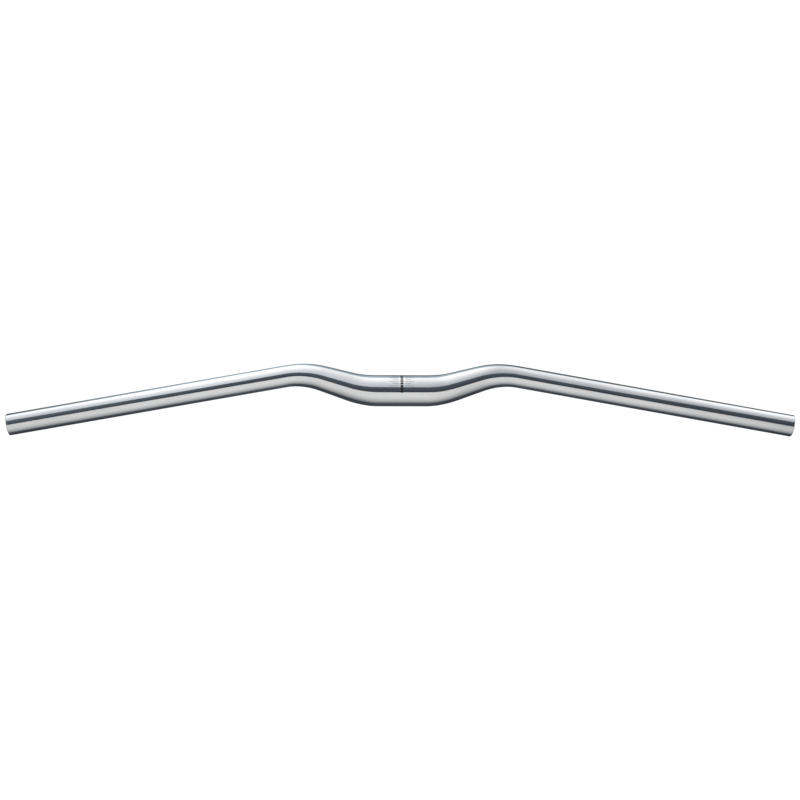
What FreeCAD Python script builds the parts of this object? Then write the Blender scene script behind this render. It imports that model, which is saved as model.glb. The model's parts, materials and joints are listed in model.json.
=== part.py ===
import FreeCAD, Part
import math
import os

# Flat handlebar: one drawn, butted and bent aluminium tube.
# Millimetres and degrees. X runs along the bar, +Y points to the front of the bicycle, +Z up.
# The bends lie in the XY plane. The origin is the middle of the seat for the stem clamp.

# Outside of the tube
OVERALL_WIDTH = 800.0
CLAMP_DIAMETER = 31.8
CLAMP_LENGTH = 48.0
GRIP_DIAMETER = 22.2

# Wall of the tube, thicker under the stem clamp than under the grips
CLAMP_WALL = 2.4
GRIP_WALL = 1.8

# Bends of each half, outwards from the clamp seat: kick forward, straight run, sweep back
KICK_ANGLE = 16.5
KICK_BEND_RADIUS = 100.0
KICK_RUN = 28.0
SWEEP_BEND_RADIUS = 85.0
BACK_SWEEP = 10.0

# The taper runs from the clamp seat to the grip, and eases in and out over this length
TAPER_EASE = 12.0

# Broken edges of the sawn tube ends, outside and inside
RIM_CHAMFER = 0.6
BORE_CHAMFER = 0.4

# Distance between the round sections that the skin of the tapered bends runs through
SECTION_SPACING = 6.0

# A circle as a quadratic spline: four quarter arcs, each with a weighted corner half way
QUARTERS = 4
EIGHTH_TURN = math.pi / QUARTERS

X_AXIS = FreeCAD.Vector(1, 0, 0)
Z_AXIS = FreeCAD.Vector(0, 0, 1)
ORIGIN = FreeCAD.Vector(0, 0, 0)

CLAMP_RADIUS = CLAMP_DIAMETER / 2
GRIP_RADIUS = GRIP_DIAMETER / 2
KICK = math.radians(KICK_ANGLE)
SWEEP = math.radians(BACK_SWEEP)

# The three stretches of the tapered part, each a length and a radius: left turn, straight, right turn
STRETCHES = [
    (KICK_BEND_RADIUS * KICK, KICK_BEND_RADIUS),
    (KICK_RUN, None),
    (SWEEP_BEND_RADIUS * (KICK + SWEEP), -SWEEP_BEND_RADIUS),
]
TAPER_LENGTH = sum(length for length, _ in STRETCHES)


def advance(place, length, turn_radius):
    """Place (x, y, heading) after a length along a straight line, or along an arc of this radius."""
    x, y, heading = place
    if turn_radius is None:
        return x + length * math.cos(heading), y + length * math.sin(heading), heading
    end = heading + length / turn_radius
    x += turn_radius * (math.sin(end) - math.sin(heading))
    y += turn_radius * (math.cos(heading) - math.cos(end))
    return x, y, end


def place_on_taper(distance):
    """Place on the right half's centre line, this far outwards from the clamp seat."""
    place = (CLAMP_LENGTH / 2, 0.0, 0.0)
    for length, turn_radius in STRETCHES:
        step = min(distance, length)
        place = advance(place, step, turn_radius)
        distance -= step
    return place


def eased(distance):
    """Share of the taper done at this distance: a straight ramp with a parabola at both ends."""
    slope = 1 / (TAPER_LENGTH - TAPER_EASE)
    if distance < TAPER_EASE:
        return slope * distance**2 / (2 * TAPER_EASE)
    left = TAPER_LENGTH - distance
    if left < TAPER_EASE:
        return 1 - slope * left**2 / (2 * TAPER_EASE)
    return slope * (distance - TAPER_EASE / 2)


def put_at(shape, place):
    """The shape, made along +X from the origin, moved to a place on the centre line."""
    x, y, heading = place
    turn = FreeCAD.Rotation(Z_AXIS, math.degrees(heading))
    shape.Placement = FreeCAD.Placement(FreeCAD.Vector(x, y, 0), turn)
    return shape


def rail(distances, angle, clamp_reach, grip_reach):
    """Curve along the taper at an angle round the tube, running on into the straights at both ends."""
    left = math.cos(angle)
    up = math.sin(angle)
    points = []
    for distance in distances:
        x, y, heading = place_on_taper(distance)
        reach = clamp_reach + (grip_reach - clamp_reach) * eased(distance)
        side = FreeCAD.Vector(-math.sin(heading), math.cos(heading), 0)
        points.append(FreeCAD.Vector(x, y, 0) + side * (reach * left) + Z_AXIS * (reach * up))
    grip_direction = FreeCAD.Vector(math.cos(heading), math.sin(heading), 0)
    curve = Part.BSplineCurve()
    curve.interpolate(
        Points=points,
        Parameters=distances,
        InitialTangent=X_AXIS * (1 - clamp_reach * left / KICK_BEND_RADIUS),
        FinalTangent=grip_direction * (1 + grip_reach * left / SWEEP_BEND_RADIUS),
        Scale=False,
    )
    return curve


def tapered_bend(clamp_end_radius, grip_end_radius):
    """Solid of the right half's two bends: a skin over exact circles square to the centre line."""
    spans = math.ceil(TAPER_LENGTH / SECTION_SPACING)
    distances = [TAPER_LENGTH * index / spans for index in range(spans + 1)]
    rails = []
    weights = []
    for step in range(2 * QUARTERS + 1):
        weight = 1.0 if step % 2 == 0 else math.cos(EIGHTH_TURN)
        curve = rail(distances, step * EIGHTH_TURN, clamp_end_radius / weight, grip_end_radius / weight)
        rails.append(curve.getPoles())
        weights.append([weight] * curve.NbPoles)
    skin = Part.BSplineSurface()
    skin.buildFromPolesMultsKnots(
        rails,
        [3] + [2] * (QUARTERS - 1) + [3],
        curve.getMultiplicities(),
        list(range(QUARTERS + 1)),
        curve.getKnots(),
        False,
        False,
        2,
        curve.Degree,
        weights,
    )
    side = skin.toShape()
    ends = [Part.Face(Part.Wire([edge])) for edge in side.Edges if edge.isClosed()]
    shell = Part.Shell([side] + ends)
    shell.sewShape()
    return Part.Solid(shell)


def straight_tube(corners):
    """Hollow tube along +X: its half section, given as (x, radius) corners, turned once round."""
    points = [FreeCAD.Vector(x, radius, 0) for x, radius in corners]
    outline = Part.makePolygon(points + points[:1])
    return Part.Face(outline).revolve(ORIGIN, X_AXIS, 360)


def clamp_seat():
    """Straight middle of the bar, which the stem clamp holds."""
    half = CLAMP_LENGTH / 2
    bore = CLAMP_RADIUS - CLAMP_WALL
    return straight_tube([(-half, bore), (-half, CLAMP_RADIUS), (half, CLAMP_RADIUS), (half, bore)])


def right_bend():
    """Tapered bends of the right half, with the wall thinning towards the grip."""
    outside = tapered_bend(CLAMP_RADIUS, GRIP_RADIUS)
    inside = tapered_bend(CLAMP_RADIUS - CLAMP_WALL, GRIP_RADIUS - GRIP_WALL)
    return outside.cut(inside)


def right_grip():
    """Straight end of the right half for controls and grip, up to the chamfered rim."""
    start = place_on_taper(TAPER_LENGTH)
    end_face_radius = GRIP_RADIUS - RIM_CHAMFER
    end_centre_x = OVERALL_WIDTH / 2 - end_face_radius * math.sin(SWEEP)
    length = (end_centre_x - start[0]) / math.cos(SWEEP)
    bore = GRIP_RADIUS - GRIP_WALL
    corners = [
        (0, bore),
        (0, GRIP_RADIUS),
        (length - RIM_CHAMFER, GRIP_RADIUS),
        (length, end_face_radius),
        (length, bore + BORE_CHAMFER),
        (length - BORE_CHAMFER, bore),
    ]
    return put_at(straight_tube(corners), start)


def handlebar():
    """The whole bar: clamp seat, and a bend and a grip on each side, as one solid."""
    right_side = [right_bend(), right_grip()]
    left_side = [piece.mirror(ORIGIN, X_AXIS) for piece in right_side]
    return clamp_seat().fuse(right_side + left_side).removeSplitter().Solids[0]


os.makedirs("parts", exist_ok=True)
handlebar().exportStep("parts/handlebar.step")
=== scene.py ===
import json
import math

import bpy
import numpy as np
from mathutils import Euler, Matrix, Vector


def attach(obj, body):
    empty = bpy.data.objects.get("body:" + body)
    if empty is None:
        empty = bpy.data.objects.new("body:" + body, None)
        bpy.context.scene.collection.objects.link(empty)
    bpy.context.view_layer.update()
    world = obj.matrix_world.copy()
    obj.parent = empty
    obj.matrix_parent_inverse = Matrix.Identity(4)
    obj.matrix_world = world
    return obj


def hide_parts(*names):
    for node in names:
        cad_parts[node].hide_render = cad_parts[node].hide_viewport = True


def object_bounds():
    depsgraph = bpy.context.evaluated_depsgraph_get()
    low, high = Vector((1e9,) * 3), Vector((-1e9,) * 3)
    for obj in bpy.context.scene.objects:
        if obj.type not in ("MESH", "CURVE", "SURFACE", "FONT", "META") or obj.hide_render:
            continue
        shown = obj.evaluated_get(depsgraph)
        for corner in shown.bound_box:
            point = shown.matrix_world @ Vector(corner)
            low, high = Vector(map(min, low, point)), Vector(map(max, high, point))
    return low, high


# Looks of a flat handlebar: one polished aluminium tube, seen from above on white.
# Metres. X runs along the bar, +Y points to the front of the bicycle, +Z up.

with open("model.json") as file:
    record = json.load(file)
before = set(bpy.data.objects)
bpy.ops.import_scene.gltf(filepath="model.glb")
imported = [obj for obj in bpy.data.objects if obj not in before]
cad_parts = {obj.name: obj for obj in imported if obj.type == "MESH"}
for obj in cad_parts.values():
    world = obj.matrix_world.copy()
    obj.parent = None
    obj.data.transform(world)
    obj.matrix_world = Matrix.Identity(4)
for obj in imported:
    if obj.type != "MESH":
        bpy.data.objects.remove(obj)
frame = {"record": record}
cad_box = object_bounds()

MM = 0.001
BODY = "root"
NODE = "handlebar"

# Sizes that the frame gives
mounts = {mount["name"]: mount for mount in frame["record"]["mounts"]}
GRIP_AXIS = Vector(mounts["grip_right"]["axis"])
CLAMP_RADIUS = mounts["stem_clamp"]["dims"]["r_mm"] * MM
CLAMP_LENGTH = mounts["stem_clamp"]["dims"]["length_mm"] * MM
GRIP_RADIUS = mounts["grip_right"]["dims"]["r_mm"] * MM
GRIP_BORE = mounts["bore_right"]["dims"]["r_mm"] * MM
BACK_SWEEP = math.atan2(-GRIP_AXIS.y, GRIP_AXIS.x)
HALF_WIDTH = cad_box[1].x

# Bends, taper, wall and broken edges of the tube
KICK = math.radians(16.5)
KICK_BEND_RADIUS = 100.0 * MM
KICK_RUN = 28.0 * MM
SWEEP_BEND_RADIUS = 85.0 * MM
TAPER_EASE = 12.0 * MM
CLAMP_WALL = 2.4 * MM
CLAMP_BORE = CLAMP_RADIUS - CLAMP_WALL
RIM_CHAMFER = 0.6 * MM
BORE_CHAMFER = 0.4 * MM
EDGE_SOFTNESS = 0.12 * MM

# Stretches of the centre line, outwards from the middle: a length, and the radius of a turn to the left
STRETCHES = [
    (CLAMP_LENGTH / 2, None),
    (KICK_BEND_RADIUS * KICK, KICK_BEND_RADIUS),
    (KICK_RUN, None),
    (SWEEP_BEND_RADIUS * (KICK + BACK_SWEEP), -SWEEP_BEND_RADIUS),
    (math.inf, None),
]
TAPER_START = CLAMP_LENGTH / 2
TAPER_END = sum(length for length, _ in STRETCHES[:-1])
TAPER_LENGTH = TAPER_END - TAPER_START

# Fineness of the tube's mesh: steps round it, spacing of its rings, and steps over a softened edge
STEPS_ROUND = 128
CLAMP_SPACING = 4.0 * MM
TAPER_SPACING = 2.0 * MM
GRIP_SPACING = 6.0 * MM
EDGE_STEPS = 3

# Printed centring marks on the clamp seat: angles run from the top of the tube to the front
INK_HEIGHT = 0.02 * MM
INK_DEPTH = 0.05 * MM
INK_STEP = math.radians(2.0)
DASH_WIDTH = 2.8 * MM
DASH_FIRST = math.radians(-7.2)
DASH_LENGTH = math.radians(7.6)
DASH_PITCH = math.radians(10.2)
DASH_COUNT = 9
TICK_GAP = 3.4 * MM
TICK_LENGTHS = (9.0 * MM, 6.0 * MM)
TICK_WIDTH = math.radians(1.1)
TICK_FIRST = math.radians(18.0)
TICK_PITCH = math.radians(9.0)
TICK_COUNT = 8

# Attribute of the tube's mesh with the place of each point on the straightened tube
STRAIGHT = "straight"

# Polish: fine streaks along the tube change its tint, gloss and relief, and wide clouds its tint.
# Streaks and clouds are counted per metre.
POLISH_STREAKS = (40.0, 2600.0, 2600.0)
POLISH_STREAK_DETAIL = 3.0
POLISH_STREAK_ROUGHNESS = 0.6
POLISH_CLOUDS = 35.0
POLISH_CLOUD_DETAIL = 2.0
POLISH_TINT_RANGE = (0.7, 1.3)
POLISH_TINTS = ((0.865, 0.875, 0.885, 1.0), (0.965, 0.97, 0.975, 1.0))
POLISH_GLOSS_RANGE = (0.3, 0.7)
POLISH_ROUGHNESS = (0.06, 0.12)
POLISH_RELIEF = 0.01 * MM
POLISH_RELIEF_STRENGTH = 0.3

# Bore: coarser streaks along the tube, per metre
BORE_STREAKS = (25.0, 900.0, 900.0)
BORE_STREAK_DETAIL = 3.0
# Bore tones: the drawn metal's matt grey, darkened as painted shade so the inside of the tube looks
# shadowed
BORE_PAINTED_SHADE_TONES = ((0.15, 0.155, 0.16, 1.0), (0.24, 0.245, 0.25, 1.0))
BORE_ROUGHNESS = 0.6

# Ink: grain per metre
INK_GRAIN = 2500.0
INK_GRAIN_DETAIL = 2.0
INK_TONES = ((0.004, 0.0045, 0.005, 1.0), (0.014, 0.015, 0.017, 1.0))
INK_ROUGHNESS = 0.5
INK_SPECULAR = 0.2

# Camera at the photograph's scale and framing, leaning a little to the left of overhead
IMAGE_PIXELS = 800
SENSOR_MM = 36.0
CAMERA_DISTANCE = 1.8
PIXELS_PER_METRE = 985.0
BAR_CENTRE_PIXEL = Vector((401.7, 390.8))
CAMERA_LEAN = math.radians(1.0)
CAMERA_ROLL = math.radians(0.108)

# White surroundings and floor. The lift brings the matt floor up to white where it is seen.
WORLD_COLOUR = (1.0, 1.0, 1.0, 1.0)
WORLD_STRENGTH = 1.0
FLOOR_DROP = 1.1
FLOOR_SIZE = 40.0
FLOOR_COLOUR = (0.9, 0.9, 0.9, 1.0)
FLOOR_LIFT = 0.15

# Studio: glowing cards on a round tunnel about the bar, seen only in reflections.
# The lines and levels below are given at these places along the tunnel.
TUNNEL_RADIUS = 1.0
TUNNEL_HALF_LENGTH = 6.0
CARD_STEPS = 32
CARD_COLUMNS = 120
PLACES = (-1.0, -0.8, -0.4, -0.2, 0.0, 0.2, 0.4, 0.65, 0.8, 1.0)

# Attribute of a card's mesh with the glow of each point
GLOW = "glow"

# Lines between the cards: degrees from overhead to the front
GAP_FRONT = (36.0, 39.5, 28.3, 27.5, 26.5, 25.5, 25.0, 34.0, 38.0, 36.0)
GAP_BACK = (-9.0, -7.5, -7.0, -9.6, -11.6, -13.0, -14.2, -10.0, -9.0, -9.0)
FRONT_FOOT = (114.0, 113.5, 116.5, 121.0, 110.0, 116.0, 113.5, 117.5, 125.0, 120.0)
BACK_FOOT = (-116.0, -116.0, -101.0, -103.5, -106.0, -107.0, -104.5, -111.0, -113.0, -116.0)
FRONT_UNDER = (150.0,) * len(PLACES)
BACK_UNDER = (-146.0, -146.0, -147.0, -148.0, -151.0, -154.0, -154.0, -150.0, -146.0, -146.0)
FRONT_LOWEST = (180.0,) * len(PLACES)
BACK_LOWEST = (-180.0,) * len(PLACES)

# Glow of the cards, each from its first line to its last, and of the tunnel's ends, upwards
GAP_GLOW = ((0.040, 0.050, 0.064), (0.075, 0.090, 0.105))
FRONT_BOX_GLOW = ((0.50, 0.535, 0.57), (1.10, 1.11, 1.13))
FRONT_FLAG_GLOW = ((0.29, 0.36, 0.40), (0.03, 0.035, 0.04))
BACK_BOX_GLOW = ((0.740, 0.735, 0.735), (0.065, 0.075, 0.085))
BACK_FLAG_GLOW = ((0.056, 0.063, 0.073), (0.048, 0.053, 0.062))
UNDER_GLOW = ((0.055, 0.060, 0.070), (0.50, 0.51, 0.52))
END_GLOW = ((0.36, 0.37, 0.385), (0.15, 0.17, 0.20))

# Level of the glow: the key light stands to the left of the middle.
# The front softbox has levels of its own at its foot.
GAP_LEVELS = (1.0, 1.35, 1.15, 1.05, 0.99, 0.96, 0.92, 0.88, 0.85, 1.0)
FRONT_BOX_LEVELS = (1.0, 1.03, 1.26, 1.17, 1.03, 0.73, 0.84, 0.82, 0.85, 1.0)
FRONT_FOOT_LEVELS = (1.0, 1.01, 1.24, 1.16, 0.98, 0.73, 0.86, 0.99, 1.05, 1.0)
FRONT_FLAG_LEVELS = (0.80, 0.30, 2.10, 1.80, 1.40, 0.66, 0.52, 0.45, 0.60, 0.90)
BACK_BOX_LEVELS = (1.0, 0.78, 0.89, 0.96, 0.98, 0.92, 0.87, 0.63, 0.75, 1.0)
BACK_FLAG_LEVELS = (0.90, 0.60, 0.80, 0.92, 1.2, 0.90, 0.80, 0.58, 0.70, 0.90)
UNDER_LEVELS = (1.0,) * len(PLACES)

# Stretch of the way from a card's first line to its last on which its glow changes.
# Where it ends past 1, the last glow is not quite reached.
WHOLE_WAY = (0.0, 1.0)
FRONT_BOX_FADE = (0.0, 0.9)
FRONT_FLAG_FADE = (0.19, 1.3)
BACK_BOX_FADE = (0.31, 1.0)
LATE_POWER = 1.6

# From here outwards the cards along the bar turn to the glow of the tunnel's ends
END_START = 1.2


def advance(place, length, turn_radius):
    """Place (x, y, heading) after a length along a straight line, or along an arc of this radius."""
    x, y, heading = place
    if turn_radius is None:
        return x + length * math.cos(heading), y + length * math.sin(heading), heading
    end = heading + length / turn_radius
    x += turn_radius * (math.sin(end) - math.sin(heading))
    y += turn_radius * (math.cos(heading) - math.cos(end))
    return x, y, end


def place_on_bar(distance):
    """Place on the centre line, this far from the middle: to the right, or to the left if negative."""
    side = math.copysign(1.0, distance)
    left = abs(distance)
    place = (0.0, 0.0, 0.0)
    for length, turn_radius in STRETCHES:
        step = min(left, length)
        place = advance(place, step, turn_radius)
        left -= step
    x, y, heading = place
    return side * x, y, side * heading


def tapered(distance, clamp_radius, grip_radius):
    """Radius at a distance from the middle: a straight taper with a parabola at both ends."""
    done = min(max(distance - TAPER_START, 0.0), TAPER_LENGTH)
    left = TAPER_LENGTH - done
    slope = 1 / (TAPER_LENGTH - TAPER_EASE)
    if done < TAPER_EASE:
        share = slope * done**2 / (2 * TAPER_EASE)
    elif left < TAPER_EASE:
        share = 1 - slope * left**2 / (2 * TAPER_EASE)
    else:
        share = slope * (done - TAPER_EASE / 2)
    return clamp_radius + (grip_radius - clamp_radius) * share


def softened(corners):
    """The line through the corners, with each inner corner rounded by a small curve."""
    points = [corners[0]]
    for before, corner, after in zip(corners, corners[1:], corners[2:]):
        start = corner + (before - corner).normalized() * EDGE_SOFTNESS
        end = corner + (after - corner).normalized() * EDGE_SOFTNESS
        for step in range(EDGE_STEPS + 1):
            share = step / EDGE_STEPS
            points.append(start.lerp(corner, share).lerp(corner.lerp(end, share), share))
    return points + [corners[-1]]


def half_section():
    """(distance, radius) points of the right half's wall: outside and rim, then the bore from the rim."""
    start_x = place_on_bar(TAPER_END)[0]
    end_x = HALF_WIDTH - (GRIP_RADIUS - RIM_CHAMFER) * math.sin(BACK_SWEEP)
    end = TAPER_END + (end_x - start_x) / math.cos(BACK_SWEEP)
    edge = softened([
        Vector((end - 2 * RIM_CHAMFER, GRIP_RADIUS)),
        Vector((end - RIM_CHAMFER, GRIP_RADIUS)),
        Vector((end, GRIP_RADIUS - RIM_CHAMFER)),
        Vector((end, GRIP_BORE + BORE_CHAMFER)),
        Vector((end - BORE_CHAMFER, GRIP_BORE)),
        Vector((end - 2 * BORE_CHAMFER, GRIP_BORE)),
    ])
    distances = []
    for first, last, spacing in (
        (0.0, TAPER_START, CLAMP_SPACING),
        (TAPER_START, TAPER_END, TAPER_SPACING),
        (TAPER_END, end - 2 * GRIP_SPACING, GRIP_SPACING),
    ):
        count = math.ceil((last - first) / spacing)
        distances += [first + (last - first) * index / count for index in range(count)]
    outside = [(distance, tapered(distance, CLAMP_RADIUS, GRIP_RADIUS)) for distance in distances]
    inside = [(distance, tapered(distance, CLAMP_BORE, GRIP_BORE)) for distance in distances]
    rim = [tuple(point) for point in edge]
    return outside + rim, inside[::-1]


def add_mesh(name, points, faces):
    """A smooth-shaded mesh object in the scene."""
    mesh = bpy.data.meshes.new(name)
    mesh.from_pydata(points, [], faces)
    mesh.polygons.foreach_set("use_smooth", [True] * len(mesh.polygons))
    mesh.update()
    piece = bpy.data.objects.new(name, mesh)
    bpy.context.scene.collection.objects.link(piece)
    return piece


def bar_piece():
    """The whole tube as one closed skin, with each point's place on the straightened tube kept."""
    outside, bore = half_section()
    half = outside + bore
    # The left half mirrors the right one and shares its first and last rings, in the middle of the bar
    section = half + [(-distance, radius) for distance, radius in half[-2:0:-1]]
    points = []
    straight = []
    for distance, radius in section:
        x, y, heading = place_on_bar(distance)
        for step in range(STEPS_ROUND):
            turn = 2 * math.pi * step / STEPS_ROUND
            front = radius * math.cos(turn)
            up = radius * math.sin(turn)
            points.append((x - front * math.sin(heading), y + front * math.cos(heading), up))
            straight.append((distance, front, up))
    # Material 0 is the polish, and material 1 the bore
    rings = len(section)
    bore_start = len(outside) - 1
    faces = []
    materials = []
    for ring in range(rings):
        following = (ring + 1) % rings
        materials += [int(bore_start <= ring < rings - bore_start)] * STEPS_ROUND
        for step in range(STEPS_ROUND):
            beside = (step + 1) % STEPS_ROUND
            faces.append((
                ring * STEPS_ROUND + step,
                ring * STEPS_ROUND + beside,
                following * STEPS_ROUND + beside,
                following * STEPS_ROUND + step,
            ))
    piece = add_mesh("polished_bar", points, faces)
    attribute = piece.data.attributes.new(STRAIGHT, "FLOAT_VECTOR", "POINT")
    attribute.data.foreach_set("vector", np.array(straight, np.float32).ravel())
    piece.data.materials.append(polished_aluminium())
    piece.data.materials.append(bore_with_painted_shade())
    piece.data.polygons.foreach_set("material_index", materials)
    return piece


def ink_patch(low_x, high_x, first, last):
    """Points and faces of a thin closed patch on the clamp seat, between two angles from the top."""
    heights = (CLAMP_RADIUS - INK_DEPTH, CLAMP_RADIUS + INK_HEIGHT)
    sides = (low_x, high_x)
    steps = math.ceil((last - first) / INK_STEP)
    points = []
    for step in range(steps + 1):
        angle = first + (last - first) * step / steps
        for radius in heights:
            for x in sides:
                points.append((x, radius * math.sin(angle), radius * math.cos(angle)))
    # Both ends first, then the four sides from each step to the next
    ring = len(heights) * len(sides)
    faces = [(0, 1, 3, 2), tuple(ring * steps + corner for corner in (0, 2, 3, 1))]
    for step in range(steps):
        here = ring * step
        there = here + ring
        for one, other in ((1, 0), (3, 1), (2, 3), (0, 2)):
            faces.append((here + one, here + other, there + other, there + one))
    return points, faces


def ink_piece(name, patches):
    """One piece of print from several patches, each given as its x range and its angles."""
    points = []
    faces = []
    for patch in patches:
        patch_points, patch_faces = ink_patch(*patch)
        faces += [tuple(len(points) + corner for corner in face) for face in patch_faces]
        points += patch_points
    piece = add_mesh(name, points, faces)
    piece.data.polygons.foreach_set("use_smooth", [False] * len(piece.data.polygons))
    return piece


def index_dashes():
    """Row of blocks round the middle of the clamp seat."""
    starts = [DASH_FIRST + DASH_PITCH * index for index in range(DASH_COUNT)]
    return ink_piece(
        "index_dashes",
        [(-DASH_WIDTH / 2, DASH_WIDTH / 2, start, start + DASH_LENGTH) for start in starts],
    )


def index_ticks():
    """Fine graduations on both sides of the dashes, long and short in turn."""
    patches = []
    for index in range(TICK_COUNT):
        start = TICK_FIRST + TICK_PITCH * index - TICK_WIDTH / 2
        length = TICK_LENGTHS[index % len(TICK_LENGTHS)]
        patches.append((TICK_GAP, TICK_GAP + length, start, start + TICK_WIDTH))
        patches.append((-TICK_GAP - length, -TICK_GAP, start, start + TICK_WIDTH))
    return ink_piece("index_ticks", patches)


class Surface:
    """A new node material, with short ways to add and join its nodes."""

    def __init__(self, name):
        self.material = bpy.data.materials.new(name)
        self.material.use_nodes = True
        self.tree = self.material.node_tree
        self.tree.nodes.clear()
        self.output = self.add("ShaderNodeOutputMaterial")

    def add(self, kind, values=None, **settings):
        """A new node with these settings, and these values on its sockets."""
        node = self.tree.nodes.new(kind)
        for key, value in settings.items():
            setattr(node, key, value)
        for key, value in (values or {}).items():
            node.inputs[key].default_value = value
        return node

    def join(self, source, target):
        """Lead one socket to another."""
        self.tree.links.new(source, target)

    def streaks(self, place, density, values):
        """Socket of a noise that is drawn out along the straightened tube."""
        lines = self.add("ShaderNodeMapping", {"Scale": density})
        noise = self.add("ShaderNodeTexNoise", {"Scale": 1.0, **values})
        self.join(place.outputs["Vector"], lines.inputs["Vector"])
        self.join(lines.outputs["Vector"], noise.inputs["Vector"])
        return noise.outputs["Fac"]

    def fit(self, source, given, wanted=(0.0, 1.0)):
        """Socket of a value that is brought from one range to another."""
        limits = {"From Min": given[0], "From Max": given[1], "To Min": wanted[0], "To Max": wanted[1]}
        node = self.add("ShaderNodeMapRange", limits)
        self.join(source, node.inputs["Value"])
        return node.outputs["Result"]

    def tint(self, share, tones, target):
        """Lead a colour between two tones to a socket, by a share from 0 to 1."""
        node = self.add("ShaderNodeMix", data_type="RGBA")
        node.inputs["A"].default_value = tones[0]
        node.inputs["B"].default_value = tones[1]
        self.join(share, node.inputs["Factor"])
        self.join(node.outputs["Result"], target)

    def complete(self, shader):
        """The material, with this shader socket on its surface."""
        self.join(shader, self.output.inputs["Surface"])
        return self.material


def polished_aluminium():
    """Drawn, polished and clear anodised tube: a soft mirror with faint lines along its length."""
    surface = Surface("polished_aluminium")
    shader = surface.add("ShaderNodeBsdfPrincipled", {"Metallic": 1.0})
    place = surface.add("ShaderNodeAttribute", attribute_name=STRAIGHT)
    streak_look = {"Detail": POLISH_STREAK_DETAIL, "Roughness": POLISH_STREAK_ROUGHNESS}
    streaks = surface.streaks(place, POLISH_STREAKS, streak_look)
    clouds = surface.add("ShaderNodeTexNoise", {"Scale": POLISH_CLOUDS, "Detail": POLISH_CLOUD_DETAIL})
    surface.join(place.outputs["Vector"], clouds.inputs["Vector"])

    worn = surface.add("ShaderNodeMath", operation="ADD")
    surface.join(streaks, worn.inputs[0])
    surface.join(clouds.outputs["Fac"], worn.inputs[1])
    shade = surface.fit(worn.outputs[0], POLISH_TINT_RANGE)
    surface.tint(shade, POLISH_TINTS, shader.inputs["Base Color"])

    roughness = surface.fit(streaks, POLISH_GLOSS_RANGE, POLISH_ROUGHNESS)
    surface.join(roughness, shader.inputs["Roughness"])

    relief_look = {"Strength": POLISH_RELIEF_STRENGTH, "Distance": POLISH_RELIEF}
    relief = surface.add("ShaderNodeBump", relief_look)
    surface.join(streaks, relief.inputs["Height"])
    surface.join(relief.outputs["Normal"], shader.inputs["Normal"])
    return surface.complete(shader.outputs["BSDF"])


def bore_with_painted_shade():
    """Inside of the tube as it was drawn and anodised: matt grey with faint lines along it, darkened past
    the metal's own grey as painted shade inside the hole.
    """
    surface = Surface("bore_with_painted_shade")
    shader = surface.add("ShaderNodeBsdfPrincipled", {"Roughness": BORE_ROUGHNESS})
    place = surface.add("ShaderNodeAttribute", attribute_name=STRAIGHT)
    streaks = surface.streaks(place, BORE_STREAKS, {"Detail": BORE_STREAK_DETAIL})
    surface.tint(streaks, BORE_PAINTED_SHADE_TONES, shader.inputs["Base Color"])
    return surface.complete(shader.outputs["BSDF"])


def printed_ink():
    """Near-black print, a little uneven."""
    surface = Surface("printed_ink")
    ink_look = {"Roughness": INK_ROUGHNESS, "Specular IOR Level": INK_SPECULAR}
    shader = surface.add("ShaderNodeBsdfPrincipled", ink_look)
    place = surface.add("ShaderNodeTexCoord")
    grain = surface.add("ShaderNodeTexNoise", {"Scale": INK_GRAIN, "Detail": INK_GRAIN_DETAIL})
    surface.join(place.outputs["Object"], grain.inputs["Vector"])
    surface.tint(grain.outputs["Fac"], INK_TONES, shader.inputs["Base Color"])
    return surface.complete(shader.outputs["BSDF"])


def pale_floor():
    """White matt floor that stays white to the eye, and in mirrors and glass, apart from shadows."""
    surface = Surface("pale_floor")
    matt = surface.add("ShaderNodeBsdfDiffuse", {"Color": FLOOR_COLOUR})
    rays = surface.add("ShaderNodeLightPath")
    seen = surface.add("ShaderNodeMath", operation="MAXIMUM")
    shown = surface.add("ShaderNodeMath", operation="MAXIMUM")
    lift = surface.add("ShaderNodeMath", {1: FLOOR_LIFT}, operation="MULTIPLY")
    glow = surface.add("ShaderNodeEmission")
    both = surface.add("ShaderNodeAddShader")
    surface.join(rays.outputs["Is Camera Ray"], seen.inputs[0])
    surface.join(rays.outputs["Is Glossy Ray"], seen.inputs[1])
    surface.join(seen.outputs[0], shown.inputs[0])
    surface.join(rays.outputs["Is Transmission Ray"], shown.inputs[1])
    surface.join(shown.outputs[0], lift.inputs[0])
    surface.join(lift.outputs[0], glow.inputs["Strength"])
    surface.join(matt.outputs["BSDF"], both.inputs[0])
    surface.join(glow.outputs["Emission"], both.inputs[1])
    return surface.complete(both.outputs["Shader"])


def card_surface(name):
    """Glow with the colour that each point of the card carries."""
    surface = Surface(name)
    colour = surface.add("ShaderNodeAttribute", attribute_name=GLOW)
    glow = surface.add("ShaderNodeEmission", {"Strength": 1.0})
    surface.join(colour.outputs["Color"], glow.inputs["Color"])
    return surface.complete(glow.outputs["Emission"])


def add_card(name, rows, glows):
    """Card over a grid of points, each with its glow. It shows only in reflections."""
    count, width, _ = rows.shape
    faces = []
    for row in range(count - 1):
        for column in range(width - 1):
            corner = row * width + column
            faces.append((corner, corner + 1, corner + width + 1, corner + width))
    card = add_mesh(name, rows.reshape(-1, 3).tolist(), faces)
    colours = np.concatenate([glows, np.ones((count, width, 1))], axis=2)
    attribute = card.data.attributes.new(GLOW, "FLOAT_COLOR", "POINT")
    attribute.data.foreach_set("color", colours.astype(np.float32).ravel())
    card.data.materials.append(card_surface(name))
    card.visible_camera = False
    card.visible_diffuse = False
    card.visible_transmission = False
    card.visible_shadow = False


def smooth(share):
    """A share from 0 to 1 with soft ends."""
    share = np.clip(share, 0.0, 1.0)[..., None]
    return share**2 * (3 - 2 * share)


def late(share):
    """A share from 0 to 1 that starts slowly and ends at full speed."""
    return np.clip(share, 0.0, 1.0)[..., None] ** LATE_POWER


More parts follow.
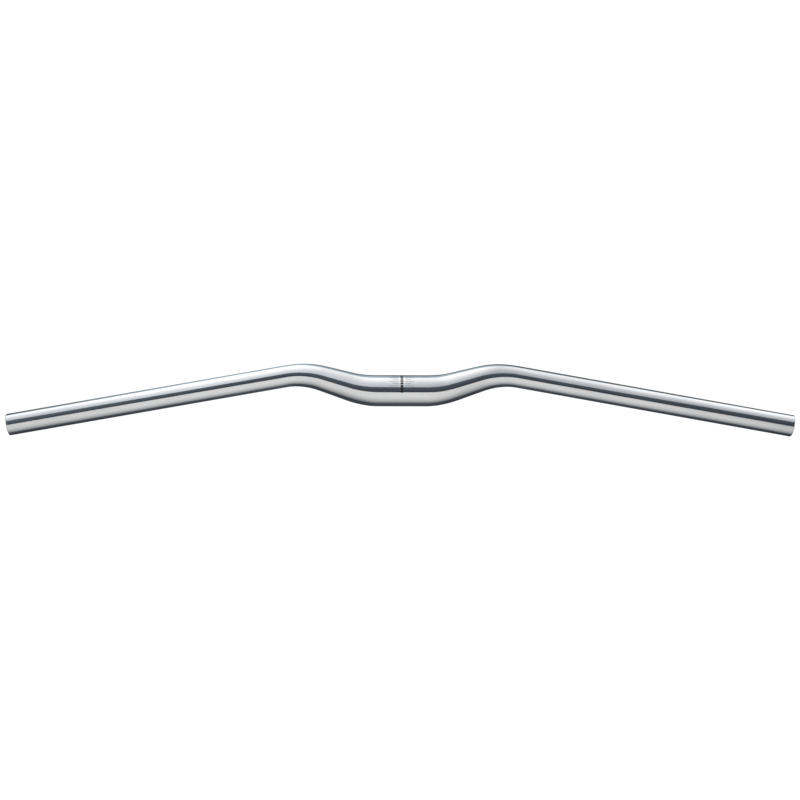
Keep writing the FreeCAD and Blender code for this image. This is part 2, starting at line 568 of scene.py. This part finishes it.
def blend(first, last, share):
    """Values on the way from the first to the last."""
    return np.array(first) * (1 - share) + np.array(last) * share


def end_glow(rows):
    """Glow of the tunnel's ends, by the height of the points."""
    return blend(*END_GLOW, (rows[..., 2:] / TUNNEL_RADIUS + 1) / 2)


def tunnel_card(name, first, last, glow, levels, last_levels=None, fade=WHOLE_WAY, curve=smooth):
    """Card along the bar between two lines.

    On the stretch between them that the fade gives, the glow goes along the curve from its first
    colour to its last. The levels hold for both lines, unless the last has levels of its own.
    """
    lengths = np.linspace(-TUNNEL_HALF_LENGTH, TUNNEL_HALF_LENGTH, CARD_COLUMNS + 1)
    along, share = np.meshgrid(lengths, np.linspace(0.0, 1.0, CARD_STEPS + 1))
    first_angle = np.interp(along, PLACES, first)
    last_angle = np.interp(along, PLACES, last)
    angle = np.radians(blend(first_angle, last_angle, share))
    rows = np.stack([along, TUNNEL_RADIUS * np.sin(angle), TUNNEL_RADIUS * np.cos(angle)], axis=2)
    first_glow = np.array(glow[0]) * np.interp(along, PLACES, levels)[..., None]
    last_glow = np.array(glow[1]) * np.interp(along, PLACES, last_levels or levels)[..., None]
    start, end = fade
    glows = blend(first_glow, last_glow, curve((share - start) / (end - start)))
    towards_end = smooth((np.abs(along) - END_START) / (TUNNEL_HALF_LENGTH - END_START))
    add_card(name, rows, blend(glows, end_glow(rows), towards_end))


def end_card(name, side):
    """Card across one end of the tunnel."""
    front, up = np.meshgrid((-TUNNEL_RADIUS, TUNNEL_RADIUS), (-TUNNEL_RADIUS, TUNNEL_RADIUS))
    rows = np.stack([np.full_like(front, side * TUNNEL_HALF_LENGTH), front, up], axis=2)
    add_card(name, rows, end_glow(rows))


def build_surroundings():
    """White world and pale floor."""
    world = bpy.data.worlds.new("white_surroundings")
    world.use_nodes = True
    background = world.node_tree.nodes["Background"]
    background.inputs["Color"].default_value = WORLD_COLOUR
    background.inputs["Strength"].default_value = WORLD_STRENGTH
    bpy.context.scene.world = world

    half = FLOOR_SIZE / 2
    corners = ((-half, -half), (half, -half), (half, half), (-half, half))
    floor = add_mesh("floor", [(x, y, -FLOOR_DROP) for x, y in corners], [(0, 1, 2, 3)])
    floor.data.materials.append(pale_floor())


def build_studio():
    """Two softboxes with a dark gap between them, flags, paler cards underneath, and both ends."""
    tunnel_card("camera_gap", GAP_BACK, GAP_FRONT, GAP_GLOW, GAP_LEVELS)
    tunnel_card(
        "front_softbox",
        GAP_FRONT,
        FRONT_FOOT,
        FRONT_BOX_GLOW,
        FRONT_BOX_LEVELS,
        last_levels=FRONT_FOOT_LEVELS,
        fade=FRONT_BOX_FADE,
    )
    tunnel_card(
        "front_flag",
        FRONT_FOOT,
        FRONT_UNDER,
        FRONT_FLAG_GLOW,
        FRONT_FLAG_LEVELS,
        fade=FRONT_FLAG_FADE,
    )
    tunnel_card("front_under", FRONT_UNDER, FRONT_LOWEST, UNDER_GLOW, UNDER_LEVELS)
    tunnel_card(
        "back_softbox",
        GAP_BACK,
        BACK_FOOT,
        BACK_BOX_GLOW,
        BACK_BOX_LEVELS,
        fade=BACK_BOX_FADE,
        curve=late,
    )
    tunnel_card("back_flag", BACK_FOOT, BACK_UNDER, BACK_FLAG_GLOW, BACK_FLAG_LEVELS)
    tunnel_card("back_under", BACK_UNDER, BACK_LOWEST, UNDER_GLOW, UNDER_LEVELS)
    end_card("left_end_flag", -1)
    end_card("right_end_flag", 1)


def build_camera():
    """Camera above the bar, at the photograph's scale and framing."""
    data = bpy.data.cameras.new("camera")
    data.sensor_width = SENSOR_MM
    data.lens = PIXELS_PER_METRE * CAMERA_DISTANCE / IMAGE_PIXELS * SENSOR_MM
    camera = bpy.data.objects.new("camera", data)
    bpy.context.scene.collection.objects.link(camera)
    off_centre = (Vector((IMAGE_PIXELS, IMAGE_PIXELS)) / 2 - BAR_CENTRE_PIXEL) / PIXELS_PER_METRE
    turn = Euler((0.0, -CAMERA_LEAN, CAMERA_ROLL))
    camera.rotation_euler = turn
    camera.location = turn.to_matrix() @ Vector((off_centre.x, -off_centre.y, CAMERA_DISTANCE))
    bpy.context.scene.camera = camera


bar = bar_piece()
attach(bar, BODY)
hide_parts(NODE)

ink = printed_ink()
for mark in (index_dashes(), index_ticks()):
    mark.data.materials.append(ink)
    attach(mark, BODY)

build_surroundings()
build_studio()
build_camera()
bpy.context.scene.view_settings.view_transform = "Standard"
